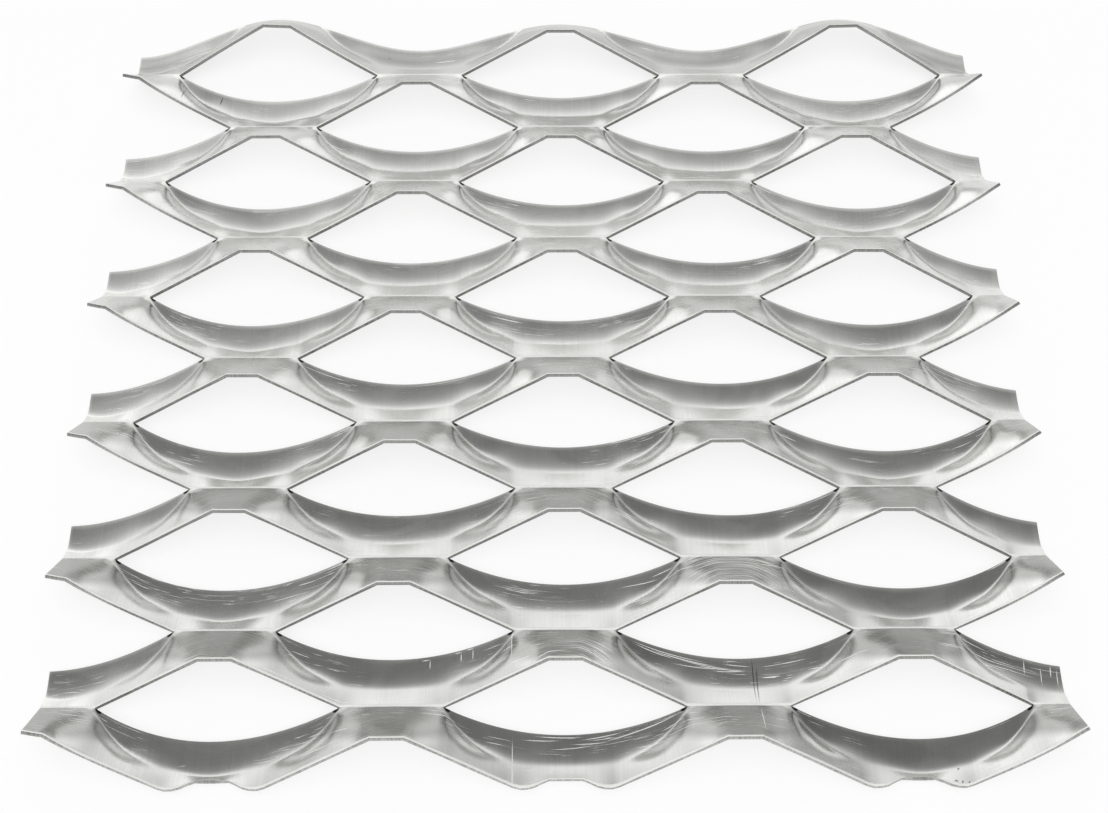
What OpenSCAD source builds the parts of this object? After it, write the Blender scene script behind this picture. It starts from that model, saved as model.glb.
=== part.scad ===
// Raised expanded metal sheet.
// One flat sheet, slit in staggered rows and stretched: every strand stays joined to the next at its bonds.
// X runs along the long way of the mesh, Y across it towards the first strand, Z up. Millimetres throughout.

/* [Mesh] */
// Long way of one mesh, from bond centre to bond centre
lwd = 115; // [95:1:130]
// Short way of one mesh, from bond crease to bond crease
swd = 51; // [47:0.5:56]
// Number of long pitches across the sheet
long_count = 3; // [1:1:4]
// Number of strands down the sheet
strand_count = 12; // [2:2:14]
// How far the side cuts are moved towards -X from the bond centres
cut_shift = 3; // [0:0.2:4]
// How far each side cut stays short of the full pitch
cut_trim = 2; // [0:0.2:3]

/* [Strand] */
// Width of one strand, the feed of each cut
strand_w = 16.25; // [14:0.25:17.5]
// Sheet thickness
sheet_t = 1.2; // [0.8:0.1:1.6]
// Length of the flat that the tooth tip leaves on the raised edge
tip_len = 11; // [7:0.5:16]
// Length of each bond, between the slit ends
bond_len = 34.5; // [28:0.5:38]

/* [Forming] */
// Tilt of the flat under the tooth, raised edge uppermost
flat_tilt = 43.5; // [36:0.5:48]
// Drop of the smooth edge below the bond crease
edge_drop = 3.8; // [1.5:0.1:4.5]
// Angle at which the lip rises from its fold to the smooth edge
lip_rise = 2; // [0:0.5:6]
// Width of the lip at its widest, as a share of the strand
lip_share = 0.46; // [0.36:0.01:0.5]
// Width of the lip at the slit ends, as a share of the strand
lip_start = 0.12; // [0.08:0.01:0.16]
// Length from a slit end in which the lip widens
lip_run = 13; // [9:0.5:16]
// Length at a slit end in which the lip folds down
lip_onset = 4; // [3:0.5:6]
// Height of the ridge where the flat turns into the legs
ridge_height = 0.8; // [0.2:0.1:1]

/* [Edges of the sheet] */
// How far the first strand bows back towards its ends
first_bow = 5.4; // [0:0.2:6]
// How far the last strand's sheared bonds are drawn in
shear_draw = 2.8; // [0:0.2:3.6]
// How far the last strand's sheared bonds are pressed down
shear_drop = 3; // [0:0.2:3.4]
// Length of the slope at either end of a sheared bond
shear_slope = 5; // [3:0.5:5]
// Bulge of the edge on either side of a sheared bond
shear_bulge = 0.8; // [0:0.1:1.2]
// How much further the flats turn up at the side cuts
end_turn = 11; // [0:1:14]
// How far the smooth edges spread at the middle of the sheet
mid_reach = 1.2; // [0:0.1:1.6]
// How far the smooth edges draw in at the side cuts
end_draw = 3.8; // [0:0.1:4]

/* [Hidden] */
row_pitch = swd / 2;
half_lwd = lwd / 2;
slit_end = half_lwd - bond_len / 2;
mesh_w = long_count * lwd;
left_cut = cut_trim - cut_shift - mesh_w / 2;
right_cut = mesh_w / 2 - cut_trim - cut_shift;
turn_reach = half_lwd / 2;
smooth_edge = [sqrt(strand_w * strand_w - edge_drop * edge_drop) - row_pitch, -edge_drop];
// The normal along a crease lies between those of the flat and of the trough that meet there
crease_tilt = flat_tilt * 0.75;
crease_normal = [0, sin(crease_tilt), cos(crease_tilt)];
// Small distance for comparing and for slopes
probe = 0.01;

// Stations along half a pitch, alike from either end so that neighbouring strands meet at their bonds
shoulder = lerp(tip_len, bond_len, 0.6) / 2;
leg_stations = [for (share = [0.4, 0.5, 0.6]) half_lwd * share];
bond_stations = [0, tip_len / 2, shoulder, bond_len / 2];
half_stations = concat(bond_stations, leg_stations, [for (i = [3 : -1 : 1]) half_lwd - bond_stations[i]]);
mesh_stations = [for (half = [0 : 2 * long_count - 1], s = half_stations) half * half_lwd + s - mesh_w / 2];
inner_stations = [for (x = mesh_stations) if (x > left_cut + probe && x < right_cut - probe) x];
stations = concat([left_cut], inner_stations, [right_cut]);
last_station = len(stations) - 1;
// Points across a strand: raised edge, ridge, lip fold and smooth edge
last_across = 3;
strand_points = len(stations) * (last_across + 1);
side_points = strand_count * strand_points;

function lerp(a, b, t) = a + (b - a) * t;
function clamp01(t) = max(0, min(1, t));
function ease(t) = let (c = clamp01(t)) c * c * (3 - 2 * c);
function unit(v) = v / norm(v);

// Distance along X from the nearest tooth of strand k; every second strand's teeth are moved by half a pitch
function from_tooth(k, x) =
    let (turn = (x - mesh_w / 2) / lwd + (k % 2 == 0 ? 0.5 : 0))
    lwd * abs(turn - round(turn));

// Nearness to a side cut, from nothing at turn_reach inside it to 1 on the cut
function near_cut(x) = pow(clamp01(1 - min(x - left_cut, right_cut - x) / turn_reach), 2);

// Share of the way out from the middle of the mesh, squared, and the bow that the first strand takes from it
function outward(x) = pow(2 * x / mesh_w, 2);
function bow(k, x) = [k == 0 ? first_bow * outward(x) : 0, 0];

// Raised edge as [y, z] from the crease above: flat on the tooth tip, straight down the legs, level at bonds
function flat_edge(x) =
    let (tilt = flat_tilt + end_turn * near_cut(x))
    strand_w * [-cos(tilt), sin(tilt)];
function raised_edge(k, x) =
    let (u = from_tooth(k, x), leg = clamp01((u - tip_len / 2) / (slit_end - tip_len / 2)))
    lerp(flat_edge(x) + bow(k, x), [-row_pitch, 0], leg) + (k == strand_count - 1 ? sheared(u) : [0, 0]);

// What shearing left of the last strand's bonds: a dent in the edge between two bulges
function sheared(u) =
    let (foot = half_lwd - tip_len / 2 - shear_slope)
    let (bulge = pow(sin(180 * clamp01((u - slit_end) / (foot - slit_end))), 2))
    ease((u - foot) / shear_slope) * [shear_draw, -shear_drop] - [shear_bulge * bulge, 0];

// Smooth edge as [y, z]: level along the bond above, then one sagging curve to the middle of the opening.
// The first strand has no bond above, and its edge is one wave.
function sag(k, u) =
    k == 0
        ? ease(u / half_lwd)
        : 1 - pow(clamp01((half_lwd - u) / (half_lwd - bond_len / 2)), 2);
function reach(k, x) = [(k == 0 ? 0 : mid_reach) - end_draw * outward(x), 0];
function low_edge(k, x) = lerp(bow(k, x), smooth_edge + reach(k, x), sag(k, from_tooth(k, x)));

// Share of the strand taken up by the lip, which widens from each slit end, and the point where it is folded
function lip(u) = lerp(lip_start, lip_share, sin(90 * clamp01((u - bond_len / 2) / lip_run)));
function lip_fold(u, raised, smooth) =
    let (folded = smooth - lip(u) * strand_w * [cos(lip_rise), sin(lip_rise)])
    lerp(lerp(smooth, raised, lip(u)), folded, ease((u - bond_len / 2) / lip_onset + 0.5));

// Height of the ridge between raised edge and lip: it rises beside the tooth tip and dies out down the leg
function ridge(u) =
    let (rise = ease((u - tip_len / 2) / (bond_len / 2 - tip_len / 2)))
    ridge_height * rise * (1 - ease((u - bond_len / 2 - lip_run / 2) / (slit_end - bond_len / 2)));

// Section of strand k at x, as [y, z] points from the crease above
function section(k, x) =
    let (u = from_tooth(k, x), raised = raised_edge(k, x), smooth = low_edge(k, x))
    let (fold = lip_fold(u, raised, smooth), chord = unit(smooth - raised))
    [raised, (raised + fold) / 2 + ridge(u) * [-chord[1], chord[0]], fold, smooth];

function strand_point(k, x, j) =
    let (p = section(k, x)[j])
    [x, p[0] - k * row_pitch, p[1]];

function is_bonded(k, x, j) =
    let (u = from_tooth(k, x))
    j == 0
        ? k < strand_count - 1 && u > slit_end - probe
        : j == last_across && k > 0 && u < bond_len / 2 + probe;

// Direction across the strand at one of its points, halfway between the facets that meet there
function over(k, x, j) =
    let (p = section(k, x))
    let (before = unit(p[max(1, j)] - p[max(0, j - 1)]))
    let (after = unit(p[min(last_across, j + 1)] - p[min(last_across - 1, j)]))
    concat(0, before + after);

function strand_normal(k, x, j) =
    is_bonded(k, x, j) ? crease_normal :
    unit(cross(strand_point(k, x + probe, j) - strand_point(k, x - probe, j), over(k, x, j)));

function face_points(side) = [for (k = [0 : strand_count - 1], x = stations, j = [0 : last_across])
    strand_point(k, x, j) + side * sheet_t / 2 * strand_normal(k, x, j)];

sheet_points = concat(face_points(1), face_points(-1));

// Number of a point; along a bond the raised edge of one strand is the smooth edge of the next
function point_id(side, k, i, j) =
    j == 0 && is_bonded(k, stations[i], 0) ? point_id(side, k + 1, i, last_across) :
    (side > 0 ? 0 : side_points) + k * strand_points + i * (last_across + 1) + j;

function quad(a, b, c, d) = [[a, b, c], [a, c, d]];

function face_quads(side) = [
    for (k = [0 : strand_count - 1], i = [0 : last_station - 1], j = [0 : last_across - 1])
    let (a = point_id(side, k, i, j), b = point_id(side, k, i, j + 1))
    let (c = point_id(side, k, i + 1, j + 1), d = point_id(side, k, i + 1, j))
    each side > 0 ? quad(a, b, c, d) : quad(a, d, c, b)];

function is_open(k, i, j) = !(is_bonded(k, stations[i], j) && is_bonded(k, stations[i + 1], j));

function edge_quads(j) = [for (k = [0 : strand_count - 1], i = [0 : last_station - 1])
    if (is_open(k, i, j))
    let (a = point_id(1, k, i, j), b = point_id(1, k, i + 1, j))
    let (c = point_id(-1, k, i + 1, j), d = point_id(-1, k, i, j))
    each j == 0 ? quad(a, b, c, d) : quad(a, d, c, b)];

function cut_quads(i) = [for (k = [0 : strand_count - 1], j = [0 : last_across - 1])
    let (a = point_id(1, k, i, j), b = point_id(1, k, i, j + 1))
    let (c = point_id(-1, k, i, j + 1), d = point_id(-1, k, i, j))
    each i == 0 ? quad(a, d, c, b) : quad(a, b, c, d)];

sheet_faces = concat(face_quads(1), face_quads(-1), edge_quads(0), edge_quads(last_across),
                     cut_quads(0), cut_quads(last_station));

function span(axis) = let (v = [for (p = sheet_points) p[axis]]) [min(v), max(v)];
bottom_centre = [(span(0)[0] + span(0)[1]) / 2, (span(1)[0] + span(1)[1]) / 2, span(2)[0]];

module expanded_sheet() {
    color("silver")
    translate(-bottom_centre)
    polyhedron(points = sheet_points, faces = sheet_faces, convexity = 10);
}

expanded_sheet();
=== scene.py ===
# Bright expanded aluminium sheet, lying flat on a pale studio floor.
# It is formed as the real one is: flat strips of the blank are bent into strands and joined at their bonds.
import math

import bmesh
import bpy
from mathutils import Euler, Matrix, Vector, noise


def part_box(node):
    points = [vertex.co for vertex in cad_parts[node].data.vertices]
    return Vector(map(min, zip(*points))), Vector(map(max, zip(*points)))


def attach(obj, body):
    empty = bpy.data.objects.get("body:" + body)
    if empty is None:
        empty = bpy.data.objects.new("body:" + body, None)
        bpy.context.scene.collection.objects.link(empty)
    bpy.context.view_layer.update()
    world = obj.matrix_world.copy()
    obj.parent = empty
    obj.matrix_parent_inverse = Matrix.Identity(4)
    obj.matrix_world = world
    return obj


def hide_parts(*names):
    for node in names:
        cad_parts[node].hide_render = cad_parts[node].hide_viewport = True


MM = 0.001

# Mesh, in millimetres
LONG_WAY = 115.0
SHORT_WAY = 51.0
LONG_COUNT = 3
STRAND_COUNT = 12
CUT_SHIFT = 3.0
CUT_TRIM = 2.0

# Strand, in millimetres
STRAND_WIDTH = 16.25
SHEET_THICKNESS = 1.2
TIP_LENGTH = 11.0
BOND_LENGTH = 34.5

# Forming, in degrees, millimetres and shares of the strand's width
FLAT_TILT = 43.5
EDGE_DROP = 3.8
LIP_TILT = -2.0
LIP_SHARE = 0.5
LIP_START = 0.12
LIP_SPREAD = 0.3
LIP_RUN = 13.0
LIP_ONSET = 4.0
RIDGE_HEIGHT = 1.0
RIDGE_PLACE = 0.5

# Rounding of the ridge and of the lip fold, as shares of the sides before and after them
RIDGE_SOFTNESS = (0.42, 0.42)
FOLD_AT_SLIT = (0.1, 0.3)
FOLD_AT_MIDDLE = (0.55, 1.0)

# Edges of the sheet, in degrees and millimetres; the dents are shares of the drop
FIRST_BOW = 5.4
SHEAR_DRAW = 2.2
SHEAR_DROP = 2.4
MIDDLE_DENT = 0.5
OUTER_DENT = 0.4
SHEAR_SLOPE = 5.0
SHEAR_BULGE = 0.8
END_TURN = 11.0
MID_REACH = 1.2
END_DRAW = 3.8

# Unevenness left by the stretching: height in millimetres, waves per millimetre in Y and in Z
WAVINESS = 0.12
WAVES_IN_Y = 0.031
WAVES_IN_Z = 0.047
WAVE_SHIFT = Vector((40, 0, 0))

# Fineness of the visual sheet, in steps, millimetres and degrees; the margin is in sheet thicknesses
LEG_STEPS = 11
TIP_STEPS = 3
SHOULDER_STEPS = 5
SECTION_STEPS = (5, 7, 5)
CUT_CLEARANCE = 0.5
WELD_DISTANCE = 0.02
BOX_MARGIN = Vector((0.34, 0.52, 0.52))
EDGE_ROUNDING = 0.38
EDGE_SEGMENTS = 3
EDGE_ANGLE = 50.0

# Colours of the metal, with the painted shade and painted highlight on it
ROLLED_METAL = ((0.76, 0.76, 0.74, 1), (0.84, 0.84, 0.82, 1))
# Painted shade on the flats
FLAT_SHADE_COLOUR = (0.43, 0.43, 0.415, 1)
# Scratches, and the painted highlight along the raised edges
SCRATCH_AND_HIGHLIGHT_COLOUR = (0.92, 0.92, 0.9, 1)
CRACKED_METAL = (0.24, 0.24, 0.23, 1)
# Painted shade at the slit ends
SLIT_END_SHADE_COLOUR = (0.03, 0.03, 0.03, 1)
CUT_METAL = ((0.36, 0.36, 0.35, 1), (0.62, 0.62, 0.6, 1))

# Finish: ranges are given as from, to and, where they follow, the values there
TONE_RANGE = (0.3, 0.7)
SMUDGE_ROUGHNESS = (0.25, 0.75, 0.19, 0.3)
SCRATCH_AND_HIGHLIGHT_ROUGHNESS = 0.5
SCRATCH_AND_HIGHLIGHT_METALLIC = 0.4
CUT_ROUGHNESS = (0.35, 0.5)
# Painted highlight along the raised edges, as shares across the strand
EDGE_HIGHLIGHT_RANGE = (0.065, 0.03)
LINE_BUMP = 0.1
LINE_DEPTH = 0.01

# Grain, in cells per millimetre along and across the blank, and the range of it that shows
FINE_LINES = (1.6, 0.018)
BROAD_LINES = (0.22, 0.01)
FINE_SHARE = 0.6
SMUDGES = (0.045, 0.07)
CUT_MARKS = (2.2, 0.3)
CUT_MARK_SHARE = 0.7
HANDLED_PATCHES, PATCH_RANGE = (0.03, 0.06), (0.46, 0.62)
LONG_SCRATCHES, LONG_RANGE, LONG_TURN = (0.03, 2.4), (0.66, 0.75), 3
SLANTED_SCRATCHES, SLANTED_RANGE, SLANTED_TURN = (0.09, 2.9), (0.68, 0.76), -17
TOOL_ARCS, ARC_RANGE = (0.035, 2.2), (0.56, 0.68)

# Painted shade on the flats, in place of the darker surroundings they reflect: its sides slope across the
# strand, and rows are counted in strands
FLAT_SHADE_LIP_SLOPE, FLAT_SHADE_LIP_RANGE = 22.0, (37.8, 35.3)
FLAT_SHADE_LEG_SLOPE, FLAT_SHADE_LEG_RANGE = -36.0, (10.0, 0.0)
LAST_ROWS = (2.5, 9.5)
FIRST_ROWS = (2.2, 1.2, 0.0, 0.6)
FREE_ROW = (1.05, 0.95)
FREE_RAISED_PART = (0.8, 0.45, 0.0, 0.8)

# Painted shade at the slit ends, in place of the shadow in the narrow gap there: distance past the bond in
# millimetres, squared radii, and the rows that have slits above
SLIT_SHADE_OFFSET = 1.0
SLIT_SHADE_RANGE = (1.7, 0.6)
SLIT_ROWS = (1.0, 1.1)

# Arcs of the tool on the flats: how far their centre lies beyond the tooth, in millimetres, how far
# the flats that hold them reach past and short of the bond, and where on the blank they are strongest
ARC_CENTRE = 16.0
ARC_FLAT = (BOND_LENGTH / 2 + 1, BOND_LENGTH / 2 - 6)
ARC_PLACE = (25, 158, 0, 75, 22)
ARC_FADE = (1.0, 0.4, 0.12, 1.0)

# Strokes on the flat blank, in millimetres: x and y of the middle, turn in degrees, half length, half width
STROKE_TAPER = (1.0, 0.25)
SCRATCHES = [
    (-17.6, 179, 90, 16, 0.25), (64.6, 188, 90, 7, 0.2), (-45.5, 175.8, 90, 2.2, 0.2),
    (-47, 177.6, 0, 1.8, 0.2), (-35, 176, 90, 2.4, 0.2), (-36, 178, 0, 1.5, 0.2),
    (-31, 176, 90, 2.5, 0.2), (-32, 178.2, 0, 1.5, 0.2), (35, 177.2, -2, 17, 0.2),
    (40, 176.3, -3, 14, 0.25), (48, 175.4, -4, 12, 0.2), (52, 174.6, -3, 11, 0.25),
    (30, 176.4, -5, 9, 0.2), (56, 173.8, 4, 7, 0.2), (44, 174.2, 2, 10, 0.2), (58, 176.2, -6, 6, 0.2),
    (12, 193.4, 3, 9, 0.2), (22, 192.6, 6, 12, 0.25), (30, 193.3, 5, 8, 0.2), (8, 191.4, -2, 8, 0.2),
    (-8, 192.6, 4, 8, 0.2), (36, 191, 9, 6, 0.2), (2, 190, 5, 9, 0.2), (-2, 194, 0, 10, 0.2),
    (26, 158.5, -3, 9, 0.2), (40, 157.2, 6, 10, 0.2), (34, 160, 4, 5, 0.2), (70, 158, -4, 11, 0.2),
    (155, 175.2, 86, 4, 0.2), (160.5, 173, 88, 5, 0.18), (164, 176, 87, 3, 0.25),
    (166, 173.5, 89, 5, 0.2),
]
CRACKS = [
    (63.4, 171.5, 91, 10, 0.28), (64.6, 169.5, 89, 8, 0.28), (-152, 22, 90, 4.8, 0.2),
    (-137.9, 28.6, 80, 3.4, 0.35), (-70.5, 9.5, 20, 0.9, 0.35), (128.5, 184, 30, 0.7, 0.4),
    (126.8, 180.2, 0, 0.9, 0.45), (128.8, 180, 70, 0.7, 0.4), (131, 179.7, 20, 0.6, 0.35),
]

# Floor, with its half width in metres
WHITE = (1, 1, 1, 1)
FLOOR_COLOUR = (0.9, 0.9, 0.9, 1)
FLOOR_REACH = 40
FLOOR_GLOW = 0.76
FLOOR_SHINE = 0.62

# Surroundings: ranges of the direction looked in, and the strengths there
SURROUNDINGS = 0.656
SKY_UPWARD = (0.1, 0.9, 1.0, 0.27)
SKY_SIDEWAYS = (("X", (-1.0, 0.0, 1.2, 1.0)), ("X", (0.05, 0.6, 1.0, 0.5)), ("Y", (-0.5, 0.1, 0.8, 1.0)))
FAR_WINDOW = (0.0, 0.45)
NEAR_WINDOW = (-0.1, -0.5, 0.0, 0.5)
WINDOW_WIDTH = (0.95, 0.3)
WINDOW_TOP = (0.97, 0.58)
HORIZON = (0.22, 0.06)

# Camera, in metres and degrees, from a fit of the mesh to the photograph; the focal length is in pixels
PHOTO_WIDTH = 1108
FOCAL_LENGTH = 1270
SENSOR_WIDTH = 36.0
CAMERA_ELEVATION = 67.147
CAMERA_YAW = 0.953
CAMERA_ROLL = 0.743
CAMERA_AIM = Vector((-0.00028, -0.02022, 0.00465))
CAMERA_DISTANCE = 0.461576

ROW_PITCH = SHORT_WAY / 2
HALF_WAY = LONG_WAY / 2
TURN_REACH = HALF_WAY / 2
SLIT_END = HALF_WAY - BOND_LENGTH / 2
MESH_WIDTH = LONG_COUNT * LONG_WAY
LEFT_CUT = CUT_TRIM - CUT_SHIFT - MESH_WIDTH / 2
RIGHT_CUT = MESH_WIDTH / 2 - CUT_TRIM - CUT_SHIFT
SMOOTH_EDGE = Vector((math.sqrt(STRAND_WIDTH ** 2 - EDGE_DROP ** 2) - ROW_PITCH, -EDGE_DROP))


def clamp01(t):
    return max(0.0, min(1.0, t))


def ease(t):
    t = clamp01(t)
    return t * t * (3 - 2 * t)


def from_tooth(strand, x):
    """Distance along X from the nearest tooth of a strand."""
    turn = (x - MESH_WIDTH / 2) / LONG_WAY + (0.5 if strand % 2 == 0 else 0.0)
    return LONG_WAY * abs(turn - round(turn))


def near_cut(x):
    """Nearness to a side cut, 1 on the cut itself."""
    return clamp01(1 - min(x - LEFT_CUT, RIGHT_CUT - x) / TURN_REACH) ** 2


def outward(x):
    """Share of the way out from the middle of the mesh, squared."""
    return (2 * x / MESH_WIDTH) ** 2


def bow(strand, x):
    """How far the first strand bows back, as (y, z)."""
    return Vector((FIRST_BOW * outward(x) if strand == 0 else 0.0, 0.0))


def sheared_step(u, x):
    """What shearing left of the last strand's bonds: a dent between two bulges, deepest at the outer bonds."""
    foot = HALF_WAY - TIP_LENGTH / 2 - SHEAR_SLOPE
    bump = math.sin(math.pi * clamp01((u - SLIT_END) / (foot - SLIT_END))) ** 2
    dent = Vector((SHEAR_DRAW, -SHEAR_DROP * (MIDDLE_DENT + OUTER_DENT * outward(x))))
    return dent * ease((u - foot) / SHEAR_SLOPE) - Vector((SHEAR_BULGE * bump, 0.0))


def raised_edge(strand, x):
    """Raised edge of a strand as (y, z) from the crease above it."""
    u = from_tooth(strand, x)
    tilt = math.radians(FLAT_TILT + END_TURN * near_cut(x))
    flat = STRAND_WIDTH * Vector((-math.cos(tilt), math.sin(tilt))) + bow(strand, x)
    leg = clamp01((u - TIP_LENGTH / 2) / (SLIT_END - TIP_LENGTH / 2))
    return flat.lerp(Vector((-ROW_PITCH, 0.0)), leg)


def sag(strand, u):
    """Share of its sag that the smooth edge has at u, from the bond above to the middle of the opening."""
    if strand == 0:
        return ease(u / HALF_WAY)
    return 1 - clamp01((HALF_WAY - u) / (HALF_WAY - BOND_LENGTH / 2)) ** 2


def smooth_edge(strand, x):
    """Smooth edge of a strand as (y, z) from the crease above it."""
    reach = (0.0 if strand == 0 else MID_REACH) - END_DRAW * outward(x)
    return bow(strand, x).lerp(SMOOTH_EDGE + Vector((reach, 0.0)), sag(strand, from_tooth(strand, x)))


def ridge_height(u):
    """Height of the ridge that runs from the tooth tip down each leg, where the flat turns into the leg."""
    rise = ease((u - TIP_LENGTH / 2) / (BOND_LENGTH / 2 - TIP_LENGTH / 2))
    fall = ease((u - (BOND_LENGTH + LIP_RUN) / 2) / (SLIT_END - BOND_LENGTH / 2))
    return RIDGE_HEIGHT * rise * (1 - fall)


def strand_section(strand, x):
    """Corners of a strand's section as (y, z), and their shares of its width.

    The corners are the raised edge, the ridge, the lip fold and the smooth edge.
    """
    u = from_tooth(strand, x)
    raised = raised_edge(strand, x)
    smooth = smooth_edge(strand, x)
    opened = math.sin(math.pi / 2 * clamp01((u - BOND_LENGTH / 2) / LIP_RUN))
    spread = LIP_SPREAD * outward(x) * (1 - near_cut(x)) * ease((u - SLIT_END) / (HALF_WAY - SLIT_END))
    lip = LIP_START + (LIP_SHARE - LIP_START) * opened + spread
    chord = smooth - raised
    upward = Vector((-chord.y, chord.x)).normalized()
    tilt = math.radians(LIP_TILT)
    lip_fold = smooth + lip * STRAND_WIDTH * Vector((-math.cos(tilt), math.sin(tilt)))
    folded = ease((u - BOND_LENGTH / 2 + LIP_ONSET / 2) / LIP_ONSET)
    fold = smooth.lerp(raised, lip).lerp(lip_fold, folded)
    crest = raised.lerp(fold, RIDGE_PLACE) + ridge_height(u) * upward
    if strand == STRAND_COUNT - 1:
        raised = raised + sheared_step(u, x)
    return (raised, crest, fold, smooth), (0.0, RIDGE_PLACE * (1 - lip), 1 - lip, 1.0)


def corner_softness(strand, x):
    """Rounding of the ridge and of the fold, which is crisp at the slit ends only."""
    softened = ease((from_tooth(strand, x) - BOND_LENGTH / 2 - LIP_RUN / 2) / LIP_RUN)
    fold = [a + (b - a) * softened for a, b in zip(FOLD_AT_SLIT, FOLD_AT_MIDDLE)]
    return RIDGE_SOFTNESS, fold


def rounded_line(points, softness, along):
    """Point on the line through the points, with its inner corners rounded.

    The place along it runs 0, 1, 2... from point to point.
    """
    corner = min(max(round(along), 1), len(points) - 2)
    side_before, side_after = softness[corner - 1]
    offset = (along - corner) / (side_before if along < corner else side_after)
    if abs(offset) >= 1:
        start = min(int(along), len(points) - 2)
        return points[start].lerp(points[start + 1], along - start)
    middle = points[corner]
    before = middle.lerp(points[corner - 1], side_before)
    after = middle.lerp(points[corner + 1], side_after)
    t = (offset + 1) / 2
    return before.lerp(middle, t).lerp(middle.lerp(after, t), t)


def even_steps(start, end, steps):
    return [start + (end - start) * i / steps for i in range(steps)]


def strand_stations():
    """Places along X, close together at the tooth tips and slit ends, alike on every strand."""
    half = (even_steps(0, TIP_LENGTH / 2, TIP_STEPS)
            + even_steps(TIP_LENGTH / 2, BOND_LENGTH / 2, SHOULDER_STEPS)
            + even_steps(BOND_LENGTH / 2, SLIT_END, LEG_STEPS)
            + even_steps(SLIT_END, HALF_WAY - TIP_LENGTH / 2, SHOULDER_STEPS)
            + even_steps(HALF_WAY - TIP_LENGTH / 2, HALF_WAY, TIP_STEPS))
    mesh = [n * HALF_WAY + s - MESH_WIDTH / 2 for n in range(2 * LONG_COUNT) for s in half]
    inner = [x for x in mesh if LEFT_CUT + CUT_CLEARANCE < x < RIGHT_CUT - CUT_CLEARANCE]
    return [LEFT_CUT] + inner + [RIGHT_CUT]


def section_places():
    """Places across a strand, counted from corner to corner of its section."""
    places = [n + i / steps for n, steps in enumerate(SECTION_STEPS) for i in range(steps)]
    return places + [float(len(SECTION_STEPS))]


def waviness(point):
    """Small unevenness left by the stretching, in millimetres."""
    in_y = noise.noise(point * WAVES_IN_Y)
    in_z = noise.noise(point * WAVES_IN_Z + WAVE_SHIFT)
    return WAVINESS * Vector((0.0, in_y, in_z))


def add_strand(bm, strand, stations, places, flat_map):
    """One flat strip of the blank, bent into its formed shape. The UV map keeps its place on the flat blank."""
    last_x = len(stations) - 1
    last_y = len(places) - 1
    strip = bmesh.ops.create_grid(bm, x_segments=last_x, y_segments=last_y, size=1)["verts"]
    for vert in strip:
        x = stations[round((vert.co.x + 1) / 2 * last_x)]
        along = places[round((vert.co.y + 1) / 2 * last_y)]
        corners, shares = strand_section(strand, x)
        y, z = rounded_line(corners, corner_softness(strand, x), along)
        first = min(int(along), len(shares) - 2)
        across = shares[first] + (shares[first + 1] - shares[first]) * (along - first)
        for loop in vert.link_loops:
            loop[flat_map].uv = (x * MM, (strand + across) * STRAND_WIDTH * MM)
        formed = Vector((x, y - strand * ROW_PITCH, z))
        vert.co = (formed + waviness(formed)) * MM


def fit_in_box(bm, low, high):
    """Sets the mesh down in the middle of the solid's box, never larger than it."""
    corners = [Vector([pick(v.co[i] for v in bm.verts) for i in range(3)]) for pick in (min, max)]
    size = corners[1] - corners[0]
    room = high - low
    shrink = [min(1.0, room[i] / size[i]) for i in range(3)]
    middle = (corners[0] + corners[1]) / 2
    bmesh.ops.translate(bm, verts=bm.verts, vec=-middle)
    bmesh.ops.scale(bm, verts=bm.verts, vec=shrink)
    bmesh.ops.translate(bm, verts=bm.verts, vec=(low + high) / 2)


def add_object(name, data):
    holder = bpy.data.objects.new(name, data)
    bpy.context.scene.collection.objects.link(holder)
    return holder


def add_piece(bm, name):
    mesh = bpy.data.meshes.new(name)
    bm.to_mesh(mesh)
    bm.free()
    return add_object(name, mesh)


def build_sheet(low, high):
    """The whole sheet: strands welded at their bonds, given their thickness and rounded at the edges."""
    bm = bmesh.new()
    flat_map = bm.loops.layers.uv.new("flat_blank")
    stations = strand_stations()
    places = section_places()
    for strand in range(STRAND_COUNT):
        add_strand(bm, strand, stations, places, flat_map)
    bmesh.ops.remove_doubles(bm, verts=bm.verts, dist=WELD_DISTANCE * MM)
    bmesh.ops.recalc_face_normals(bm, faces=bm.faces)
    margin = BOX_MARGIN * SHEET_THICKNESS * MM
    fit_in_box(bm, low + margin, high - margin)
    for face in bm.faces:
        face.smooth = True
    sheet = add_piece(bm, "expanded_sheet_visual")
    thickness = sheet.modifiers.new("sheet_thickness", "SOLIDIFY")
    thickness.thickness = SHEET_THICKNESS * MM
    thickness.offset = 0.0
    thickness.use_even_offset = True
    thickness.material_offset_rim = 1
    rounding = sheet.modifiers.new("edge_rounding", "BEVEL")
    rounding.width = EDGE_ROUNDING * MM
    rounding.segments = EDGE_SEGMENTS
    rounding.limit_method = "ANGLE"
    rounding.angle_limit = math.radians(EDGE_ANGLE)
    return sheet


def set_input(tree, socket, value):
    """Links an input to a socket, or gives it a value."""
    if isinstance(value, bpy.types.NodeSocket):
        tree.links.new(value, socket)
    else:
        socket.default_value = value


def add_node(tree, kind, inputs=None, **settings):
    """Adds a node with its settings and inputs."""
    node = tree.nodes.new("ShaderNode" + kind)
    for name, value in settings.items():
        setattr(node, name, value)
    for key, value in (inputs or {}).items():
        set_input(tree, node.inputs[key], value)
    return node


def maths(tree, operation, *values):
    return add_node(tree, "Math", dict(enumerate(values)), operation=operation).outputs[0]


def ranged(tree, value, low, high, bottom=0.0, top=1.0):
    """Eases a value from one range to another, clamped."""
    inputs = {"Value": value, "From Min": low, "From Max": high, "To Min": bottom, "To Max": top}
    return add_node(tree, "MapRange", inputs, interpolation_type="SMOOTHSTEP").outputs[0]


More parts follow.
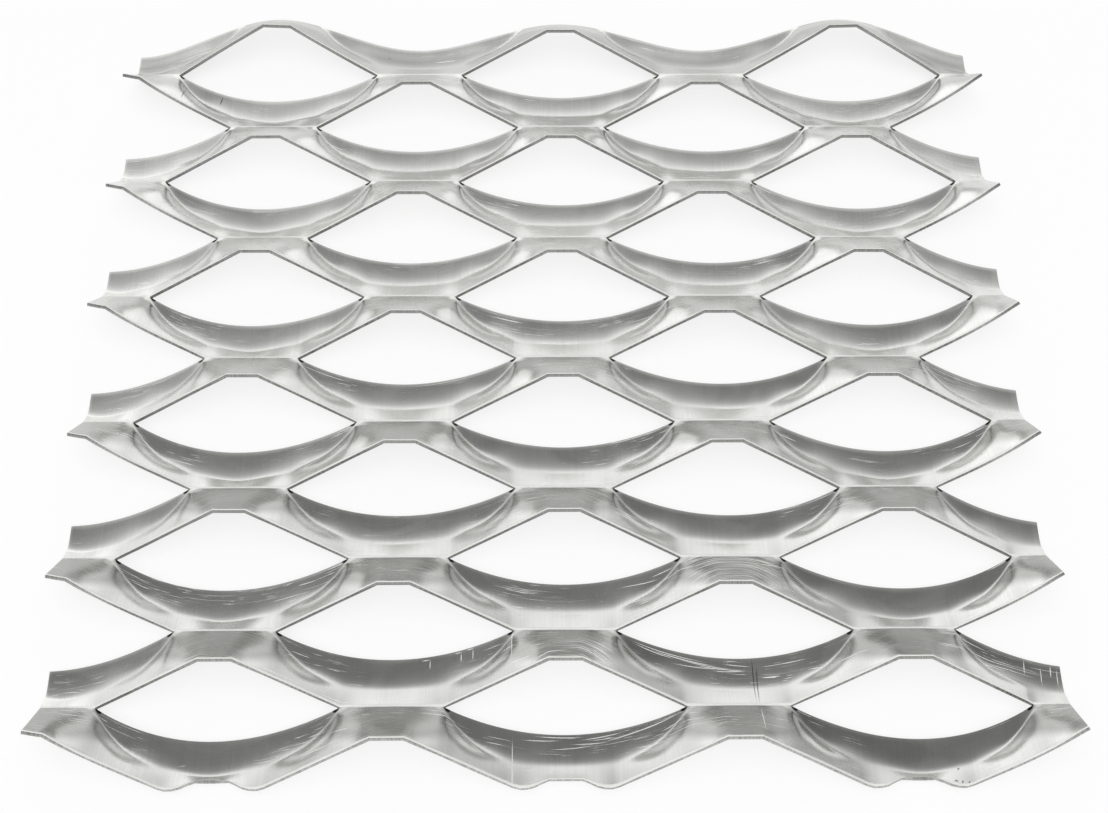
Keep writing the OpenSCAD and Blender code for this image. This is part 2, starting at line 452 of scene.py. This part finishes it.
def weighed(tree, first, second, share):
    """Sum of two values, in which the first has the given share."""
    return maths(tree, "MULTIPLY_ADD", first, share, maths(tree, "MULTIPLY", second, 1 - share))


def blend(tree, share, first, second):
    """Mixes two colours, or two sockets of colour."""
    node = add_node(tree, "Mix", data_type="RGBA")
    for name, kind, value in (("Factor", "VALUE", share), ("A", "RGBA", first), ("B", "RGBA", second)):
        set_input(tree, next(i for i in node.inputs if (i.name, i.type) == (name, kind)), value)
    return next(o for o in node.outputs if o.type == "RGBA")


def grain(tree, place, cells, turn=0.0, detail=2.0, distortion=0.0):
    """Noise drawn out along one way, with its cells per millimetre along and across the blank."""
    inputs = {"Vector": place, "Rotation": (0, 0, math.radians(turn)), "Scale": (*cells, 1)}
    turned = add_node(tree, "Mapping", inputs).outputs[0]
    inputs = {"Vector": turned, "Scale": 1.0, "Detail": detail, "Distortion": distortion}
    return add_node(tree, "TexNoise", inputs, noise_dimensions="2D").outputs["Fac"]


def new_group(name, outputs):
    tree = bpy.data.node_groups.new(name, "ShaderNodeTree")
    for socket, kind in outputs:
        tree.interface.new_socket(socket, in_out="OUTPUT", socket_type="NodeSocket" + kind)
    return tree, tree.nodes.new("NodeGroupOutput").inputs


def new_material(name):
    material = bpy.data.materials.new(name)
    material.use_nodes = True
    return material, material.node_tree


def strand_place_group():
    """Place on the flat blank in millimetres, row in strands, distance from the nearest tooth, share across."""
    outputs = (("Blank", "Vector"), ("Row", "Float"), ("From Tooth", "Float"), ("Across", "Float"))
    tree, out = new_group("strand_place", outputs)
    metres = add_node(tree, "UVMap", uv_map="flat_blank").outputs[0]
    blank = add_node(tree, "VectorMath", {0: metres, "Scale": 1 / MM}, operation="SCALE").outputs[0]
    parts = add_node(tree, "SeparateXYZ", {0: blank}).outputs
    row = maths(tree, "DIVIDE", parts["Y"], STRAND_WIDTH)
    shift = maths(tree, "MULTIPLY", maths(tree, "PINGPONG", maths(tree, "FLOOR", row), 1.0), HALF_WAY)
    tooth = maths(tree, "PINGPONG", maths(tree, "ADD", parts["X"], shift), HALF_WAY)
    tree.links.new(blank, out["Blank"])
    tree.links.new(row, out["Row"])
    tree.links.new(tooth, out["From Tooth"])
    tree.links.new(maths(tree, "FRACT", row), out["Across"])
    return tree


def rolled_grain_group(place_group):
    """Rolling lines of the blank, which run across the strands, and the larger smudges on it."""
    tree, out = new_group("rolled_grain", (("Lines", "Float"), ("Smudges", "Float")))
    blank = add_node(tree, "Group", node_tree=place_group).outputs["Blank"]
    lines = weighed(tree, grain(tree, blank, FINE_LINES), grain(tree, blank, BROAD_LINES), FINE_SHARE)
    tree.links.new(lines, out["Lines"])
    tree.links.new(grain(tree, blank, SMUDGES, detail=4.0, distortion=0.6), out["Smudges"])
    return tree


def away_from(tree, blank, x, y, turn, length, width):
    """Distance from a place on the blank, 1 where the half length and half width end."""
    inputs = {"Vector": blank, "Location": (x, y, 0), "Rotation": (0, 0, math.radians(turn)),
              "Scale": (length, width, 1)}
    local = add_node(tree, "Mapping", inputs, vector_type="TEXTURE").outputs[0]
    return add_node(tree, "VectorMath", {0: local}, operation="LENGTH").outputs["Value"]


def strokes(tree, blank, marks):
    """Mask of tapered strokes on the blank."""
    nearest = away_from(tree, blank, *marks[0])
    for mark in marks[1:]:
        nearest = maths(tree, "MINIMUM", nearest, away_from(tree, blank, *mark))
    return ranged(tree, nearest, *STROKE_TAPER)


def painted_flat_shade(tree, place):
    """Painted shade on the flats: darker metal in place of the shaded floor and strands they reflect, most of
    all on the strands cut first and last and on the first strand's free raised part.
    """
    tooth, across, row = place["From Tooth"], place["Across"], place["Row"]
    beside_lip = ranged(tree, maths(tree, "MULTIPLY_ADD", across, FLAT_SHADE_LIP_SLOPE, tooth), *FLAT_SHADE_LIP_RANGE)
    beside_leg = ranged(tree, maths(tree, "MULTIPLY_ADD", across, FLAT_SHADE_LEG_SLOPE, tooth), *FLAT_SHADE_LEG_RANGE)
    shape = maths(tree, "MULTIPLY", beside_lip, beside_leg)
    shaded_rows = maths(tree, "MAXIMUM", ranged(tree, row, *FIRST_ROWS), ranged(tree, row, *LAST_ROWS))
    free = maths(tree, "MULTIPLY", ranged(tree, row, *FREE_ROW), ranged(tree, across, *FREE_RAISED_PART))
    return maths(tree, "MAXIMUM", free, maths(tree, "MULTIPLY", shape, shaded_rows))


def tool_arcs(tree, place):
    """Arcs around the tooth that the tool left on the flats, strongest in one part of the sheet."""
    tooth = place["From Tooth"]
    drop = maths(tree, "MULTIPLY_ADD", place["Across"], STRAND_WIDTH, ARC_CENTRE)
    squares = maths(tree, "ADD", maths(tree, "POWER", tooth, 2.0), maths(tree, "POWER", drop, 2.0))
    along = add_node(tree, "SeparateXYZ", {0: place["Blank"]}).outputs["X"]
    rings = add_node(tree, "CombineXYZ", {0: along, 1: maths(tree, "SQRT", squares)}).outputs[0]
    arcs = ranged(tree, grain(tree, rings, TOOL_ARCS), *ARC_RANGE)
    arcs = maths(tree, "MULTIPLY", arcs, ranged(tree, tooth, *ARC_FLAT))
    fade = ranged(tree, away_from(tree, place["Blank"], *ARC_PLACE), *ARC_FADE)
    return maths(tree, "MULTIPLY", arcs, fade)


def scratches(tree, place):
    """Handling scratches along the strands, arcs of the tool, and the strokes of SCRATCHES."""
    blank = place["Blank"]
    patches = ranged(tree, grain(tree, blank, HANDLED_PATCHES, detail=3.0), *PATCH_RANGE)
    along = grain(tree, blank, LONG_SCRATCHES, turn=LONG_TURN, distortion=0.4)
    slanted = grain(tree, blank, SLANTED_SCRATCHES, turn=SLANTED_TURN)
    handled = maths(tree, "MAXIMUM", ranged(tree, along, *LONG_RANGE), ranged(tree, slanted, *SLANTED_RANGE))
    handled = maths(tree, "MULTIPLY", handled, patches)
    worn = maths(tree, "MAXIMUM", handled, tool_arcs(tree, place))
    return maths(tree, "MAXIMUM", worn, strokes(tree, blank, SCRATCHES))


def painted_slit_end_shade(tree, place):
    """Painted shade: dark specks on the smooth edge where the slits end, in place of the shadow in the narrow
    gap there; the first strand's edge is free and has none.
    """
    away = maths(tree, "SUBTRACT", place["From Tooth"], BOND_LENGTH / 2 + SLIT_SHADE_OFFSET)
    depth = maths(tree, "MULTIPLY", maths(tree, "SUBTRACT", 1.0, place["Across"]), STRAND_WIDTH)
    squares = maths(tree, "ADD", maths(tree, "POWER", away, 2.0), maths(tree, "POWER", depth, 2.0))
    return maths(tree, "MULTIPLY", ranged(tree, place["Row"], *SLIT_ROWS), ranged(tree, squares, *SLIT_SHADE_RANGE))


def mill_finish(place_group, grain_group):
    """Bright rolled aluminium, with scratches that scatter more light than the metal around them, a painted
    highlight along the raised edges, and painted shade on the flats and at the slit ends.
    """
    material, tree = new_material("mill_aluminium")
    place = add_node(tree, "Group", node_tree=place_group).outputs
    rolled = add_node(tree, "Group", node_tree=grain_group).outputs
    # Scratches, with a painted highlight along the raised edges: lighter, rougher and less metallic there
    scratches_and_edge_highlight = maths(tree, "MAXIMUM", scratches(tree, place), ranged(tree, place["Across"], *EDGE_HIGHLIGHT_RANGE))
    tone = ranged(tree, weighed(tree, rolled["Lines"], rolled["Smudges"], 0.5), *TONE_RANGE)
    colour = blend(tree, tone, *ROLLED_METAL)
    # Painted shade on the flats and at the slit ends is blended into the colour here, with the scratches and
    # the painted highlight
    for mask, metal in ((painted_flat_shade(tree, place), FLAT_SHADE_COLOUR),
                        (scratches_and_edge_highlight, SCRATCH_AND_HIGHLIGHT_COLOUR),
                        (strokes(tree, place["Blank"], CRACKS), CRACKED_METAL),
                        (painted_slit_end_shade(tree, place), SLIT_END_SHADE_COLOUR)):
        colour = blend(tree, mask, colour, metal)
    smooth = ranged(tree, rolled["Smudges"], *SMUDGE_ROUGHNESS)
    bump = {"Strength": LINE_BUMP, "Distance": LINE_DEPTH * MM, "Height": rolled["Lines"]}
    shader = tree.nodes["Principled BSDF"].inputs
    tree.links.new(colour, shader["Base Color"])
    tree.links.new(ranged(tree, scratches_and_edge_highlight, 0.0, 1.0, 1.0, SCRATCH_AND_HIGHLIGHT_METALLIC), shader["Metallic"])
    tree.links.new(maths(tree, "MULTIPLY_ADD", scratches_and_edge_highlight, SCRATCH_AND_HIGHLIGHT_ROUGHNESS, smooth), shader["Roughness"])
    tree.links.new(add_node(tree, "Bump", bump).outputs[0], shader["Normal"])
    return material


def sheared_edge(place_group, grain_group):
    """Cut edges: duller, with short marks that run through the thickness of the sheet."""
    material, tree = new_material("sheared_edge")
    blank = add_node(tree, "Group", node_tree=place_group).outputs["Blank"]
    smudges = add_node(tree, "Group", node_tree=grain_group).outputs["Smudges"]
    tone = weighed(tree, grain(tree, blank, CUT_MARKS), smudges, CUT_MARK_SHARE)
    colour = blend(tree, ranged(tree, tone, *TONE_RANGE), *CUT_METAL)
    shader = tree.nodes["Principled BSDF"].inputs
    shader["Metallic"].default_value = 1.0
    tree.links.new(colour, shader["Base Color"])
    tree.links.new(ranged(tree, tone, *TONE_RANGE, *CUT_ROUGHNESS), shader["Roughness"])
    return material


def add_floor():
    """Pale floor that glows to the camera and in reflections, and still takes the sheet's shadow."""
    bm = bmesh.new()
    bmesh.ops.create_grid(bm, x_segments=1, y_segments=1, size=FLOOR_REACH)
    floor = add_piece(bm, "floor")
    material, tree = new_material("pale_floor")
    tree.nodes.clear()
    path = add_node(tree, "LightPath").outputs
    mirrored = maths(tree, "MAXIMUM", path["Is Glossy Ray"], path["Is Transmission Ray"])
    seen = maths(tree, "MULTIPLY", path["Is Camera Ray"], FLOOR_GLOW)
    seen = maths(tree, "MAXIMUM", seen, maths(tree, "MULTIPLY", mirrored, FLOOR_SHINE))
    matt = add_node(tree, "BsdfDiffuse", {"Color": FLOOR_COLOUR}).outputs[0]
    white = add_node(tree, "Emission", {"Color": WHITE, "Strength": 1.0}).outputs[0]
    mixed = add_node(tree, "MixShader", {0: seen, 1: matt, 2: white}).outputs[0]
    add_node(tree, "OutputMaterial", {"Surface": mixed})
    floor.data.materials.append(material)


def add_world():
    """Soft studio surroundings: pale at the horizon, darker overhead, with a wide window on the far side
    and a weaker one on the near side."""
    world = bpy.data.worlds.new("studio")
    bpy.context.scene.world = world
    world.use_nodes = True
    tree = world.node_tree
    tree.nodes.clear()
    way = add_node(tree, "SeparateXYZ", {0: add_node(tree, "TexCoord").outputs["Generated"]}).outputs
    sky = ranged(tree, way["Z"], *SKY_UPWARD)
    for axis, limits in SKY_SIDEWAYS:
        sky = maths(tree, "MULTIPLY", sky, ranged(tree, way[axis], *limits))
    window = maths(tree, "MAXIMUM", ranged(tree, way["Y"], *FAR_WINDOW), ranged(tree, way["Y"], *NEAR_WINDOW))
    aside = maths(tree, "ABSOLUTE", way["X"])
    window = maths(tree, "MULTIPLY", window, ranged(tree, aside, *WINDOW_WIDTH))
    window = maths(tree, "MULTIPLY", window, ranged(tree, way["Z"], *WINDOW_TOP))
    strength = maths(tree, "MULTIPLY", maths(tree, "ADD", sky, window), SURROUNDINGS)
    strength = maths(tree, "MAXIMUM", strength, ranged(tree, way["Z"], *HORIZON))
    light = add_node(tree, "Background", {"Color": WHITE, "Strength": strength}).outputs[0]
    add_node(tree, "OutputWorld", {"Surface": light})


def add_softbox(name, azimuth, elevation, distance, width, height, radiance):
    """A soft lamp that faces the sheet. Azimuth 0 is the far side, positive to the right."""
    lamp = bpy.data.lights.new(name, "AREA")
    lamp.shape = "RECTANGLE"
    lamp.size = width
    lamp.size_y = height
    lamp.energy = radiance * math.pi * width * height
    a, e = math.radians(azimuth), math.radians(elevation)
    away = Vector((math.sin(a) * math.cos(e), math.cos(a) * math.cos(e), math.sin(e)))
    holder = add_object(name, lamp)
    holder.location = away * distance
    holder.visible_glossy = False
    holder.rotation_mode = "QUATERNION"
    holder.rotation_quaternion = away.to_track_quat("Z", "Y")


def add_camera():
    """The photograph's view."""
    camera = bpy.data.cameras.new("camera")
    camera.sensor_width = SENSOR_WIDTH
    camera.lens = SENSOR_WIDTH * FOCAL_LENGTH / PHOTO_WIDTH
    elevation, yaw, roll = (math.radians(a) for a in (CAMERA_ELEVATION, CAMERA_YAW, CAMERA_ROLL))
    turn = Euler((math.pi / 2 - elevation, 0.0, -yaw)).to_matrix() @ Matrix.Rotation(roll, 3, "Z")
    stand = CAMERA_AIM + turn @ Vector((0, 0, CAMERA_DISTANCE))
    holder = add_object("camera", camera)
    holder.matrix_world = Matrix.Translation(stand) @ turn.to_4x4()
    bpy.context.scene.camera = holder


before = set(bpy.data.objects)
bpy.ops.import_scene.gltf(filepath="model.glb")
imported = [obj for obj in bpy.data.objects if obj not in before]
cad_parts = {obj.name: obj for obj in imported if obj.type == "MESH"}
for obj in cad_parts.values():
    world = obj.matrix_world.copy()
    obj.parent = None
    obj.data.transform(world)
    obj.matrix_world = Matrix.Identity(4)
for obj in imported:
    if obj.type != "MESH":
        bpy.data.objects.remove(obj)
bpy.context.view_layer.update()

sheet = build_sheet(*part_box("expanded_sheet"))
place_group = strand_place_group()
grain_group = rolled_grain_group(place_group)
sheet.data.materials.append(mill_finish(place_group, grain_group))
sheet.data.materials.append(sheared_edge(place_group, grain_group))
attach(sheet, "root")
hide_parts("expanded_sheet")

add_floor()
add_world()
add_softbox("floor_fill", azimuth=180, elevation=80, distance=2.0, width=3.0, height=3.0, radiance=1.6)
add_camera()
bpy.context.scene.view_settings.view_transform = "Standard"
